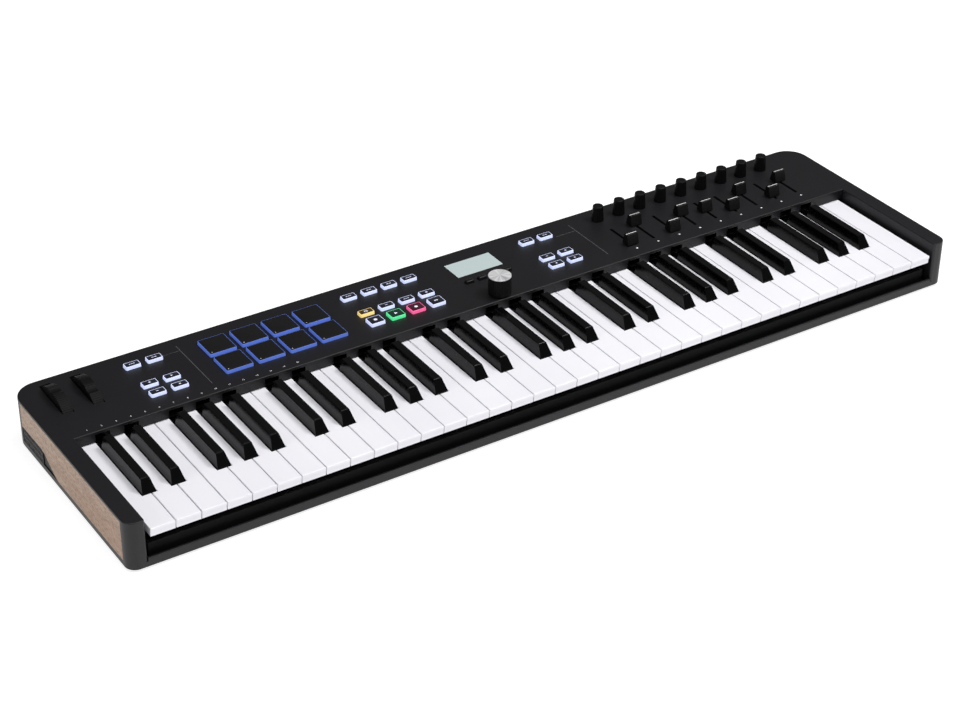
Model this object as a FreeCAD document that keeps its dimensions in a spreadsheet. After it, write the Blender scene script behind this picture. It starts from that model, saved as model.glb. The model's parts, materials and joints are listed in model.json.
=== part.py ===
import FreeCAD, Part
import math
import os
import re
import Sketcher

# A 61-key keyboard synthesizer with pads, faders, knobs and a display.
# Frame: X runs along the keyboard (the player's right is +X), Y runs from the player (-Y)
# to the rear panel (+Y), Z is up, and the feet stand on Z = 0. All sizes are in millimetres.

DRIVING_SIZES = {
    # Case
    "case_length": 888.0,
    "case_depth": 240.0,
    "case_height": 47.0,
    "foot_height": 2.5,
    "foot_radius": 8.0,
    "base_rim": 5.0,
    "lip_height": 8.0,
    "lip_thickness": 3.0,
    "wall": 2.5,
    "panel_thickness": 2.5,
    "panel_front": 18.0,
    "arm_width": 17.0,
    "front_corner": 10.0,
    "rear_corner": 22.0,
    "cheek_thickness": 4.0,
    "cheek_front": 108.0,
    "cheek_rear": 98.0,
    "insert_height": 20.5,
    "insert_front": 26.0,
    "insert_slope": 26.0,
    "seam": 0.12,
    # Keys
    "white_pitch": 23.5,
    "key_gap": 0.9,
    "key_front": 119.3,
    "key_rear": 20.0,
    "key_top": 38.2,
    "key_skirt": 8.1,
    "key_skin": 2.0,
    "key_wall": 1.6,
    "black_width": 12.6,
    "black_top_width": 7.9,
    "black_front": 73.0,
    "black_slope": 7.0,
    "black_rear": 8.0,
    "black_rise": 11.5,
    "black_clearance": 0.7,
    "stem_floor": 21.0,
    "stem_ceiling": 31.5,
    "stem_rear": 47.5,
    "stem_width": 8.4,
    "pivot_row": 41.0,
    "pivot_level": 26.0,
    "pivot_radius": 2.5,
    "pivot_fit": 0.08,
    "pivot_web": 2.4,
    "pivot_slot": 3.8,
    "plunger_foot": 21.5,
    "plunger_size": 4.0,
    # Boards under the panel
    "board_thickness": 1.6,
    "board_level": 36.0,
    "chassis_floor": 2.0,
    "chassis_rail": 19.4,
    "dome_top": 17.7,
    # Wheels
    "wheel_radius": 34.0,
    "wheel_width": 9.4,
    "wheel_sink": 24.0,
    "wheel_row": 83.5,
    "pitch_column": -414.9,
    "mod_column": -386.0,
    "wheel_slot_width": 10.8,
    "wheel_slot_length": 53.8,
    "wheel_hub": 8.0,
    "wheel_reach": 86.0,
    "dip_radius": 9.0,
    "dip_depth": 2.0,
    "mod_lean": 20.0,
    "axle_radius": 2.5,
    "axle_fit": 0.06,
    # Knobs, faders and the push encoder
    "column_first": 175.3,
    "column_pitch": 25.9,
    "knob_row": 98.5,
    "knob_base": 6.3,
    "knob_tip": 5.2,
    "knob_height": 15.8,
    "knob_lift": 0.5,
    "spindle_radius": 3.0,
    "spindle_fit": 0.06,
    "fader_low": 42.0,
    "fader_travel": 30.0,
    "fader_slot_width": 3.0,
    "fader_slot_length": 38.0,
    "fader_cap_width": 12.8,
    "fader_cap_depth": 10.0,
    "fader_cap_crest": 4.6,
    "fader_cap_height": 10.6,
    "lever_width": 1.2,
    "lever_depth": 4.0,
    "encoder_column": 13.1,
    "encoder_row": 29.3,
    "encoder_radius": 11.1,
    "encoder_height": 17.6,
    "encoder_cap_height": 1.0,
    "encoder_lift": 1.6,
    # Buttons and pads
    "button_width": 15.0,
    "button_depth": 8.2,
    "button_rise": 3.0,
    "button_flange": 1.0,
    "button_fit": 0.4,
    "button_travel": 1.0,
    "transport_depth": 13.0,
    "menu_width": 8.4,
    "menu_depth": 5.0,
    "pad_width": 27.3,
    "pad_depth": 28.2,
    "left_column": -336.3,
    "left_pitch": 21.7,
    "pad_column": -256.5,
    "pad_pitch": 32.5,
    "pad_row_low": 53.7,
    "pad_row_pitch": 32.6,
    "daw_column": -113.0,
    "daw_pitch": 22.0,
    "right_column": 88.3,
    "menu_column": 0.1,
    "menu_pitch": 14.2,
    "row_top": 96.6,
    "row_daw": 64.0,
    "row_upper": 60.4,
    "row_lower": 44.2,
    "row_transport": 46.4,
    "row_menu": 62.0,
    # Display
    "display_column": 21.2,
    "display_row": 88.0,
    "display_width": 51.0,
    "display_depth": 26.6,
    # Rear sockets
    "socket_level": 21.0,
    "socket_depth": 20.0,
    "usb_column": -340.0,
    "midi_column": -302.0,
    "pedal_column": -262.0,
    "lock_column": -226.0,
    "pedal_bore": 3.2,
    "pedal_nose": 5.6,
    # Screws
    "screw_head": 3.0,
    "screw_shank": 1.5,
    "screw_length": 13.0,
}

OCTAVES = 5
WHITES_IN_OCTAVE = 7
TOP_WHITE = OCTAVES * WHITES_IN_OCTAVE
FADER_PARKED = [0.0, 30.0, 0.0, 21.5, 15.5, 4.0, 26.0, 4.5, 27.0]
COLUMNS = len(FADER_PARKED)

doc = FreeCAD.newDocument("KeyboardSynthesizer")
sheet = doc.addObject("Spreadsheet::Sheet", "Sizes")
for row, (alias, value) in enumerate(DRIVING_SIZES.items(), start=1):
    sheet.set("A%d" % row, alias)
    sheet.set("B%d" % row, str(value))
    sheet.setAlias("B%d" % row, alias)
doc.recompute()

parts = {}


# ---------------------------------------------------------------- helpers

def bound(text):
    """Turn the aliases in a formula into references to the sheet's cells."""
    def cell(match):
        word = match.group(0)
        return "Sizes." + word if word in DRIVING_SIZES else word
    return re.sub(r"[a-z][a-z_]*", cell, str(text))


def origin_feature(body, role):
    return [item for item in body.Origin.OriginFeatures if item.Role == role][0]


def new_body(label):
    body = doc.addObject("PartDesign::Body", "Body_" + label)
    body.Label = label
    return body


def new_sketch(body, name, role="XY_Plane", offset="0"):
    sketch = body.newObject("Sketcher::SketchObject", name)
    sketch.AttachmentSupport = [(origin_feature(body, role), "")]
    sketch.MapMode = "FlatFace"
    sketch.setExpression("AttachmentOffset.Base.z", bound(offset))
    return sketch


def pin_point(sketch, geometry, position, x, y):
    """Hold one point of the sketch at the place that two formulas give."""
    for kind, formula in (("DistanceX", x), ("DistanceY", y)):
        index = sketch.addConstraint(Sketcher.Constraint(kind, -1, 1, geometry, position, 1.0))
        sketch.setExpression("Constraints[%d]" % index, bound(formula))


def draw_polygon(sketch, corners):
    """Closed outline whose corners are pairs of formulas."""
    first = sketch.GeometryCount
    count = len(corners)
    ring = []
    for step in range(count):
        angle = 2 * math.pi * step / count
        ring.append(FreeCAD.Vector(10 * math.cos(angle), 10 * math.sin(angle), 0))
    for step in range(count):
        sketch.addGeometry(Part.LineSegment(ring[step], ring[(step + 1) % count]), False)
    for step in range(count):
        following = first + (step + 1) % count
        sketch.addConstraint(Sketcher.Constraint("Coincident", first + step, 2, following, 1))
    for step, (x, y) in enumerate(corners):
        pin_point(sketch, first + step, 1, x, y)


def draw_rectangle(sketch, left, low, right, high):
    draw_polygon(sketch, [(left, low), (right, low), (right, high), (left, high)])


def draw_circle(sketch, x, y, radius):
    index = sketch.addGeometry(Part.Circle(FreeCAD.Vector(0, 0, 0), FreeCAD.Vector(0, 0, 1), 5), False)
    pin_point(sketch, index, 3, x, y)
    constraint = sketch.addConstraint(Sketcher.Constraint("Radius", index, 5.0))
    sketch.setExpression("Constraints[%d]" % constraint, bound(radius))


def pad(body, sketch, length, centred=False):
    feature = body.newObject("PartDesign::Pad", sketch.Name + "_pad")
    feature.Profile = sketch
    feature.setExpression("Length", bound(length))
    feature.Midplane = centred
    return feature


def pocket(body, sketch, length, centred=False):
    """Cut from the sketch plane against its normal, or both ways when centred."""
    feature = body.newObject("PartDesign::Pocket", sketch.Name + "_pocket")
    feature.Profile = sketch
    feature.setExpression("Length", bound(length))
    feature.Midplane = centred
    return feature


def repeat(body, role, spacing, count):
    """Repeat everything in the body along one of its axes."""
    doc.recompute()
    pattern = body.newObject("PartDesign::LinearPattern", "Row")
    pattern.TransformMode = "Whole shape"
    pattern.Direction = (origin_feature(body, role), [""])
    pattern.Mode = "Spacing"
    pattern.setExpression("Offset", bound(spacing))
    pattern.Occurrences = count
    body.Tip = pattern
    return pattern


def edges_where(shape, test):
    return ["Edge%d" % number for number, edge in enumerate(shape.Edges, start=1) if test(edge)]


def upright(edge):
    box = edge.BoundBox
    return box.XLength < 1e-6 and box.YLength < 1e-6 and box.ZLength > 1e-3


def round_edges(body, kind, size, test):
    """Fillet or chamfer the edges of the body's last feature that pass the test."""
    doc.recompute()
    base = body.Tip
    feature = body.newObject("PartDesign::" + kind, kind)
    feature.Base = (base, edges_where(base.Shape, test))
    feature.setExpression("Radius" if kind == "Fillet" else "Size", bound(size))
    return feature


def place(item, x, y, z):
    for axis, formula in (("x", x), ("y", y), ("z", z)):
        item.setExpression("Placement.Base." + axis, bound(formula))


def block(name, x, y, z, length, width, height):
    """Box given by its low corner and its size, all as formulas."""
    item = doc.addObject("Part::Box", name)
    item.setExpression("Length", bound(length))
    item.setExpression("Width", bound(width))
    item.setExpression("Height", bound(height))
    place(item, x, y, z)
    return item


def centred_block(name, x, y, z, length, width, height):
    """Box centred on x and y, standing on z."""
    return block(name, "%s - (%s) / 2" % (x, length), "%s - (%s) / 2" % (y, width), z, length, width,
                 height)


AXIS_TURNS = {
    "Z": FreeCAD.Rotation(),
    "X": FreeCAD.Rotation(FreeCAD.Vector(0, 1, 0), 90),
    "Y": FreeCAD.Rotation(FreeCAD.Vector(1, 0, 0), -90),
}


def rod(name, x, y, z, radius, length, axis="Z"):
    """Cylinder that starts at a point and runs along one axis."""
    item = doc.addObject("Part::Cylinder", name)
    item.setExpression("Radius", bound(radius))
    item.setExpression("Height", bound(length))
    item.Placement = FreeCAD.Placement(FreeCAD.Vector(), AXIS_TURNS[axis])
    place(item, x, y, z)
    return item


def cone(name, x, y, z, foot, tip, length):
    item = doc.addObject("Part::Cone", name)
    item.setExpression("Radius1", bound(foot))
    item.setExpression("Radius2", bound(tip))
    item.setExpression("Height", bound(length))
    place(item, x, y, z)
    return item


def group(label, items):
    item = doc.addObject("Part::Compound", "Group_" + label)
    item.Links = items
    item.Label = label
    return item


def fuse(label, items):
    item = doc.addObject("Part::MultiFuse", "Fuse_" + label)
    item.Shapes = items
    item.Refine = True
    item.Label = label
    return item


def cut(label, base, tools):
    item = doc.addObject("Part::Cut", "Cut_" + label)
    item.Base = base
    item.Tool = tools[0] if len(tools) == 1 else group(label + "_tools", tools)
    item.Label = label
    return item


def finish(item):
    """Register an object as one of the sub-parts that are written out."""
    parts[item.Label] = item


# ---------------------------------------------------------------- levels and rows

BASE_TOP = "(foot_height + base_rim)"
TRAY_FLOOR = "(foot_height + wall)"
PANEL_TOP = "(foot_height + case_height)"
PANEL_UNDER = "(foot_height + case_height - panel_thickness)"
HALF_LENGTH = "(case_length / 2)"
HALF_DEPTH = "(case_depth / 2)"
OPENING_HALF = "(case_length / 2 - arm_width)"
KEYS_LEFT = "(-18 * white_pitch)"
OCTAVE = "(7 * white_pitch)"
BOARD_TOP = "(board_level + board_thickness)"
BUTTON_BOTTOM = "(foot_height + case_height - panel_thickness - button_travel - 0.9)"
SOCKET_FRONT = "(case_depth / 2 - 0.3)"

# Button groups: label, columns, column pitch, rows, width, depth
BUTTON_GROUPS = [
    ("left_buttons", "left_column", 2, "left_pitch", ["row_top", "row_upper", "row_lower"],
     "button_width", "button_depth"),
    ("daw_buttons", "daw_column", 4, "daw_pitch", ["row_top", "row_daw"],
     "button_width", "button_depth"),
    ("transport_buttons", "daw_column", 4, "daw_pitch", ["row_transport"],
     "button_width", "transport_depth"),
    ("menu_buttons", "menu_column", 4, "menu_pitch", ["row_menu"],
     "menu_width", "menu_depth"),
    ("right_buttons", "right_column", 2, "left_pitch", ["row_top", "row_upper", "row_lower"],
     "button_width", "button_depth"),
    ("lower_pads", "pad_column", 4, "pad_pitch", ["pad_row_low"],
     "pad_width", "pad_depth"),
    ("upper_pads", "pad_column", 4, "pad_pitch", ["pad_row_low + pad_row_pitch"],
     "pad_width", "pad_depth"),
]

SCREW_PLACES = [
    ("-360", "case_depth / 2 - 8"),
    ("-120", "case_depth / 2 - 8"),
    ("120", "case_depth / 2 - 8"),
    ("360", "case_depth / 2 - 8"),
    ("-case_length / 2 + 10.5", "-95"),
    ("-case_length / 2 + 10.5", "-10"),
    ("case_length / 2 - 10.5", "-95"),
    ("case_length / 2 - 10.5", "-10"),
]

# Black keys of one octave, counted in white keys from C, with the shift of the key's middle.
BLACK_KEYS = [("c_sharp", 1, -1.8), ("d_sharp", 2, 1.8), ("f_sharp", 4, -2.5), ("g_sharp", 5, 0.0),
              ("a_sharp", 6, 2.5)]
WHITE_KEYS = ["c", "d", "e", "f", "g", "a", "b"]


def column(number):
    return "(column_first + %d * column_pitch)" % number


def black_middle(whites, shift):
    return "(%s + %d * white_pitch + %s)" % (KEYS_LEFT, whites, shift)


def white_neck(number):
    """Formulas for the left and right side of a white key between the black keys."""
    left = "(%s + %d * white_pitch + key_gap / 2)" % (KEYS_LEFT, number)
    right = "(%s + %d * white_pitch - key_gap / 2)" % (KEYS_LEFT, number + 1)
    neck_left = left
    neck_right = right
    for _, whites, shift in BLACK_KEYS:
        middle = black_middle(whites, shift)
        if whites == number:
            neck_left = "(%s + black_width / 2 + black_clearance)" % middle
        if whites == number + 1:
            neck_right = "(%s - black_width / 2 - black_clearance)" % middle
    return left, right, neck_left, neck_right


# ---------------------------------------------------------------- case

def make_bottom_case():
    """Shallow tray with a raised lip under the front of the keys."""
    body = new_body("bottom_tray")
    outline = new_sketch(body, "TrayOutline", offset="foot_height")
    draw_rectangle(outline, "-" + HALF_LENGTH, "-" + HALF_DEPTH, HALF_LENGTH, HALF_DEPTH)
    pad(body, outline, "base_rim")
    round_edges(body, "Fillet", "rear_corner", lambda edge: upright(edge) and edge.BoundBox.YMin > 0)
    round_edges(body, "Fillet", "front_corner",
                lambda edge: upright(edge) and edge.BoundBox.YMax < -DRIVING_SIZES["case_depth"] / 2 + 1)
    inner = new_sketch(body, "TrayInside", offset=BASE_TOP)
    side = "(case_length / 2 - wall)"
    rear = "(case_depth / 2 - wall)"
    front = "(case_depth / 2 - lip_thickness)"
    draw_polygon(inner, [
        ("-%s + 8" % side, "-" + front), ("%s - 8" % side, "-" + front),
        (side, "-%s + 8" % front), (side, "%s - 14" % rear),
        ("%s - 14" % side, rear), ("-%s + 14" % side, rear),
        ("-" + side, "%s - 14" % rear), ("-" + side, "-%s + 8" % front)])
    pocket(body, inner, "base_rim - wall")
    lip = new_sketch(body, "FrontLip", offset=BASE_TOP)
    draw_rectangle(lip, "-%s + seam" % OPENING_HALF, "-" + HALF_DEPTH,
                   "%s - seam" % OPENING_HALF, "-%s + lip_thickness" % HALF_DEPTH)
    pad(body, lip, "lip_height - base_rim")
    round_edges(body, "Fillet", "0.8", lambda edge: edge.BoundBox.ZMin > 10.4 and edge.Length > 500)
    holes = []
    for number, (x, y) in enumerate(SCREW_PLACES):
        holes.append(rod("HeadHole%d" % number, x, y, "foot_height - 0.5", "screw_head + 0.3", "2.2"))
        holes.append(rod("ShankHole%d" % number, x, y, "foot_height + 1", "screw_shank + 0.2", "wall"))
    finish(cut("bottom_case", body, [fuse("bottom_screw_holes", holes)]))


def panel_cutters():
    """Everything that is cut through the control panel."""
    tools = []
    depth = "panel_thickness + 2"
    low = PANEL_UNDER + " - 1"
    for x in ("pitch_column", "mod_column"):
        tools.append(centred_block("WheelSlot", x, "wheel_row", low, "wheel_slot_width",
                                   "wheel_slot_length", depth))
    for label, left, count, pitch, rows, width, length in BUTTON_GROUPS:
        for row in rows:
            for step in range(count):
                tools.append(centred_block(
                    "Window_" + label, "(%s + %d * %s)" % (left, step, pitch), "(%s)" % row, low,
                    width + " + 2 * button_fit", length + " + 2 * button_fit", depth))
    tools.append(centred_block("DisplayWindow", "display_column", "display_row", low,
                               "display_width + 2 * seam", "display_depth + 2 * seam", depth))
    tools.append(rod("EncoderHole", "encoder_column", "encoder_row", low, "spindle_radius + 1.2", depth))
    for number in range(COLUMNS):
        tools.append(rod("KnobHole%d" % number, column(number), "knob_row", low, "spindle_radius + 1",
                         depth))
        tools.append(centred_block("FaderSlot%d" % number, column(number),
                                   "fader_low + fader_travel / 2", low,
                                   "fader_slot_width", "fader_slot_length", depth))
    return tools


def rear_cutters():
    """Holes in the rear wall for the sockets and the security slot."""
    depth = "wall + 2"
    inside = "case_depth / 2 - wall - 1"
    return [
        centred_block("UsbHole", "usb_column", "case_depth / 2", "socket_level - 5.8", "12.8",
                      "wall * 2 + 2", "11.6"),
        rod("MidiHole", "midi_column", inside, "socket_level", "8.3", depth, axis="Y"),
        rod("PedalHole", "pedal_column", inside, "socket_level", "pedal_nose + 0.3", depth, axis="Y"),
        centred_block("LockHole", "lock_column", "case_depth / 2", "socket_level - 1.5", "7",
                      "wall * 2 + 2", "3"),
    ]


def fascia_cutters():
    """The slot that the keys pass through, and a notch for each black key."""
    low = "panel_front - 1"
    thick = "wall + 2"
    clearance = "(key_top + 1)"
    tools = [block("KeySlot", "-%s - seam" % OPENING_HALF, low, BASE_TOP + " - 1",
                   "2 * (%s + seam)" % OPENING_HALF, thick, clearance + " - %s + 1" % BASE_TOP)]
    for octave in range(OCTAVES):
        for name, whites, shift in BLACK_KEYS:
            middle = "(%s + %d * %s)" % (black_middle(whites, shift), octave, OCTAVE)
            tools.append(block("Notch_" + name, "%s - black_width / 2 - 0.6" % middle, low,
                               clearance + " - 0.5",
                               "black_width + 1.2", thick, PANEL_UNDER + " - %s" % clearance))
    return tools


def make_top_case():
    """Control panel, rear wall and the two arms beside the keys, in one moulding."""
    body = new_body("top_shell")
    outline = new_sketch(body, "ShellOutline", offset=BASE_TOP)
    draw_polygon(outline, [
        ("-" + HALF_LENGTH, "-" + HALF_DEPTH), ("-" + OPENING_HALF, "-" + HALF_DEPTH),
        ("-" + OPENING_HALF, "panel_front"), (OPENING_HALF, "panel_front"),
        (OPENING_HALF, "-" + HALF_DEPTH), (HALF_LENGTH, "-" + HALF_DEPTH),
        (HALF_LENGTH, HALF_DEPTH), ("-" + HALF_LENGTH, HALF_DEPTH)])
    pad(body, outline, "case_height - base_rim")
    half_length = DRIVING_SIZES["case_length"] / 2
    half_depth = DRIVING_SIZES["case_depth"] / 2
    round_edges(body, "Fillet", "rear_corner",
                lambda edge: upright(edge) and edge.BoundBox.YMin > half_depth - 1)
    round_edges(body, "Fillet", "front_corner",
                lambda edge: upright(edge) and edge.BoundBox.YMax < 1 - half_depth
                and abs(edge.BoundBox.XMin) > half_length - 1)
    round_edges(body, "Fillet", "2.5",
                lambda edge: upright(edge) and edge.BoundBox.YMax < 1 - half_depth
                and abs(edge.BoundBox.XMin) < half_length - 12)
    top = DRIVING_SIZES["foot_height"] + DRIVING_SIZES["case_height"]
    round_edges(body, "Fillet", "0.9", lambda edge: edge.BoundBox.ZMin > top - 0.01)
    rear_room = new_sketch(body, "RearRoom", offset=PANEL_UNDER)
    side = "(case_length / 2 - cheek_thickness - wall)"
    rear = "(case_depth / 2 - wall)"
    draw_polygon(rear_room, [
        ("-" + side, "panel_front + wall"), (side, "panel_front + wall"),
        (side, rear + " - 14"), (side + " - 14", rear),
        ("-%s + 14" % side, rear), ("-" + side, rear + " - 14")])
    pocket(body, rear_room, "case_height - base_rim - panel_thickness")
    for sign, name in (("-", "LeftArmRoom"), ("", "RightArmRoom")):
        room = new_sketch(body, name, offset=PANEL_UNDER)
        outer = "%s(case_length / 2 - cheek_thickness - wall)" % sign
        inner = "%s(case_length / 2 - arm_width + wall)" % sign
        draw_rectangle(room, outer, "-cheek_front + 2", inner, "panel_front + wall + 1")
        pocket(body, room, "case_height - base_rim - panel_thickness")
    bosses = []
    for number, (x, y) in enumerate(SCREW_PLACES):
        bosses.append(rod("Boss%d" % number, x, y, TRAY_FLOOR, "3.6",
                          PANEL_UNDER + " - " + TRAY_FLOOR + " + 1"))
    shell = fuse("top_shell_with_bosses", [body] + bosses)
    tools = panel_cutters() + rear_cutters()
    for number, (x, y) in enumerate(SCREW_PLACES):
        tools.append(rod("BossHole%d" % number, x, y, TRAY_FLOOR + " - 1", "screw_shank + 0.05",
                         "screw_length + 2"))
    for left in ("-%s - 1" % HALF_LENGTH, "%s - cheek_thickness" % HALF_LENGTH):
        tools.append(block("CheekRecess", left, "-cheek_front", BASE_TOP + " - 1",
                           "cheek_thickness + 1", "cheek_front + cheek_rear",
                           "case_height - base_rim - panel_thickness + 1"))
    holed = cut("top_shell_holed", shell, tools)
    finish(cut("top_case", holed, [fuse("fascia_tools", fascia_cutters())]))


def side_outline(sketch, gap, is_cheek):
    """Outline of the wooden cheek, or of the moulded insert below its rear end."""
    foot = BASE_TOP + " + seam"
    step = BASE_TOP + " + insert_height - base_rim"
    rear = "cheek_rear - seam"
    if is_cheek:
        draw_polygon(sketch, [
            ("-cheek_front + seam", foot), ("insert_front", foot), ("insert_front + insert_slope", step),
            (rear, step), (rear, PANEL_UNDER + " - seam"), ("-cheek_front + seam",
                                                            PANEL_UNDER + " - seam")])
    else:
        draw_polygon(sketch, [
            ("insert_front + " + gap, foot), (rear, foot), (rear, step + " - seam"),
            ("insert_front + insert_slope + %s / 2" % gap, step + " - seam")])


def slope_end(edge):
    """The two edges where the cheek's lower outline turns up and back level."""
    box = edge.BoundBox
    return (box.YLength < 1e-6 and box.ZLength < 1e-6 and 20 < box.YMin < 60 and box.ZMin < 30)


def make_cheeks():
    """Wooden cheeks let into the sides of the case."""
    cheeks = []
    for name, plane in (("left_cheek", "-case_length / 2"),
                        ("right_cheek", "case_length / 2 - cheek_thickness + seam")):
        body = new_body(name)
        outline = new_sketch(body, "Outline_" + name, role="YZ_Plane", offset=plane)
        side_outline(outline, "0", True)
        pad(body, outline, "cheek_thickness - seam")
        round_edges(body, "Fillet", "22", slope_end)
        cheeks.append(body)
    finish(group("wood_cheeks", cheeks))


def make_side_inserts():
    """Ribbed mouldings that fill the sides below the rear ends of the cheeks."""
    inserts = []
    for name, plane, rib_plane in (
            ("left_insert", "-case_length / 2 + 1", "-case_length / 2 + 0.1"),
            ("right_insert", "case_length / 2 - cheek_thickness + seam", "case_length / 2 - 1.3")):
        body = new_body(name)
        outline = new_sketch(body, "Outline_" + name, role="YZ_Plane", offset=plane)
        side_outline(outline, "0.6", False)
        pad(body, outline, "cheek_thickness - seam - 1")
        round_edges(body, "Fillet", "22", lambda edge: slope_end(edge) and edge.BoundBox.ZMin > 12)
        ribs = []
        for step in range(15):
            y = "insert_front + insert_slope + 2 + %d * 2.9" % step
            ribs.append(block("Rib_%s_%d" % (name, step), rib_plane, y, BASE_TOP + " + seam",
                              "1.2", "1.5", "insert_height - base_rim - 3 * seam"))
        for step in range(2):
            level = BASE_TOP + " + seam + 4.4 + %d * 5.2" % step
            ribs.append(block("Bar_%s_%d" % (name, step), rib_plane, "insert_front + insert_slope + 2",
                              level, "1.2", "42.1", "1.2"))
        inserts.append(fuse(name + "_ribbed", [body] + ribs))
    finish(group("side_inserts", inserts))


def make_feet():
    """Six stick-on rubber feet."""
    body = new_body("rubber_feet")
    outline = new_sketch(body, "FootOutline")
    draw_circle(outline, "-case_length / 2 + 40", "-case_depth / 2 + 22", "foot_radius")
    pad(body, outline, "foot_height")
    round_edges(body, "Chamfer", "0.6", lambda edge: edge.BoundBox.ZMax < 0.01)
    repeat(body, "X_Axis", "case_length / 2 - 40", 3)
    repeat(body, "Y_Axis", "case_depth - 44", 2)
    finish(body)


def make_screws():
    """Self-tapping screws that hold the tray to the top case."""
    screws = []
    for number, (x, y) in enumerate(SCREW_PLACES):
        head = rod("ScrewHead%d" % number, x, y, "foot_height + 0.2", "screw_head", "1.4")
        shank = rod("ScrewShank%d" % number, x, y, "foot_height + 1", "screw_shank", "screw_length")
        driver = rod("ScrewSocket%d" % number, x, y, "foot_height", "1.2", "0.9")
        screws.append(cut("screw_%d" % number, fuse("screw_blank_%d" % number, [head, shank]), [driver]))
    finish(group("case_screws", screws))


# ---------------------------------------------------------------- keybed

def add_key_works(body, name, middle, stem_front, cap_fill):
    """Stem, plunger and pivot hook that every key has below its cap."""
    root = new_sketch(body, "Root_" + name, offset=cap_fill)
    draw_rectangle(root, middle + " - stem_width / 2", stem_front, middle + " + stem_width / 2",
                   "key_rear - 0.4")
    root_pad = pad(body, root, cap_fill + " - stem_floor")
    root_pad.Reversed = True
    stem = new_sketch(body, "Stem_" + name, offset="stem_floor")
    draw_rectangle(stem, middle + " - stem_width / 2", stem_front, middle + " + stem_width / 2",
                   "stem_rear")
    pad(body, stem, "stem_ceiling - stem_floor")
    plunger = new_sketch(body, "Plunger_" + name, offset="plunger_foot")
    draw_rectangle(plunger, middle + " - plunger_size / 2", "-plunger_size / 2",
                   middle + " + plunger_size / 2", "plunger_size / 2")
    pad(body, plunger, cap_fill + " - plunger_foot")
    bearing = new_sketch(body, "Bearing_" + name, role="YZ_Plane", offset=middle)
    draw_circle(bearing, "pivot_row", "pivot_level", "pivot_radius + pivot_fit")
    pocket(body, bearing, "stem_width + 2", centred=True)
    mouth = new_sketch(body, "Mouth_" + name, role="YZ_Plane", offset=middle)
    draw_rectangle(mouth, "pivot_row - pivot_slot / 2", "stem_floor - 1", "pivot_row + pivot_slot / 2",
                   "pivot_level")
    pocket(body, mouth, "stem_width + 2", centred=True)


def make_white_key(number, name, count):
    """A hollow white key, repeated in as many octaves as have one of its shape."""
    left, right, neck_left, neck_right = white_neck(number)
    body = new_body("keys_" + name)
    floor = "(key_top - key_skirt)"
    ceiling = "(key_top - key_skin)"
    shoulder = "(-black_front - black_clearance)"
    corners = [(left, "-key_front"), (right, "-key_front")]
    if neck_right != right:
        corners += [(right, shoulder), (neck_right, shoulder)]
    corners += [(neck_right, "key_rear"), (neck_left, "key_rear")]
    if neck_left != left:
        corners += [(neck_left, shoulder), (left, shoulder)]
    plan = new_sketch(body, "Plan_" + name, offset=floor)
    draw_polygon(plan, corners)
    pad(body, plan, "key_skirt")
    top = DRIVING_SIZES["key_top"]
    front = -DRIVING_SIZES["key_front"]
    round_edges(body, "Fillet", "0.7",
                lambda edge: edge.BoundBox.ZMin > top - 0.01 and edge.BoundBox.YMin < 15)
    recess = new_sketch(body, "FrontRecess_" + name, offset="(key_top - 3)")
    draw_rectangle(recess, left + " - 1", "-key_front - 1", right + " + 1", "-key_front + 0.7")
    pocket(body, recess, "key_skirt")
    head = new_sketch(body, "HeadRoom_" + name, offset=ceiling)
    draw_rectangle(head, left + " + key_wall", "-key_front + 0.7 + key_wall",
                   right + " - key_wall", shoulder + " - key_wall")
    pocket(body, head, "key_skirt")
    neck = new_sketch(body, "NeckRoom_" + name, offset=ceiling)
    draw_rectangle(neck, neck_left + " + key_wall", shoulder + " - key_wall - 1",
                   neck_right + " - key_wall", "key_rear - 3")
    pocket(body, neck, "key_skirt")
    add_key_works(body, name, "((%s + %s) / 2)" % (neck_left, neck_right), "8", ceiling)
    if count > 1:
        repeat(body, "X_Axis", OCTAVE, count)
    return body


def make_black_key(name, whites, shift):
    """A tapered black key, repeated in every octave."""
    middle = black_middle(whites, shift)
    body = new_body("keys_" + name)
    floor = "(key_top - key_skirt)"
    plan = new_sketch(body, "Plan_" + name, offset=floor)
    draw_rectangle(plan, middle + " - black_width / 2", "-black_front", middle + " + black_width / 2",
                   "black_rear")
    pad(body, plan, "key_skirt + 0.6")
    crest = body.newObject("PartDesign::AdditiveWedge", "Crest_" + name)
    formulas = {
        "Xmin": "-black_width / 2", "Xmax": "black_width / 2",
        "X2min": "-black_top_width / 2", "X2max": "black_top_width / 2",
        "Ymin": "0", "Ymax": "black_rise - 0.6",
        "Zmin": "-black_rear", "Zmax": "black_front",
        "Z2min": "-black_rear", "Z2max": "black_front - black_slope"}
    for field, formula in formulas.items():
        crest.setExpression(field, bound(formula))
    crest.Placement = FreeCAD.Placement(FreeCAD.Vector(), FreeCAD.Rotation(FreeCAD.Vector(1, 0, 0), 90))
    place(crest, middle, "0", "key_top + 0.6")
    crest_top = DRIVING_SIZES["key_top"] + DRIVING_SIZES["black_rise"]
    round_edges(body, "Fillet", "0.8", lambda edge: edge.BoundBox.ZMin > crest_top - 0.01)
    room = new_sketch(body, "Room_" + name, offset="(key_top + 2)")
    draw_rectangle(room, middle + " - black_width / 2 + key_wall + 1", "-black_front + key_wall + 2",
                   middle + " + black_width / 2 - key_wall - 1", "black_rear - key_wall")
    pocket(body, room, "key_skirt + 3")
    add_key_works(body, name, middle, "-4", "(key_top - 1.2)")
    repeat(body, "X_Axis", OCTAVE, OCTAVES)
    finish(body)


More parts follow.
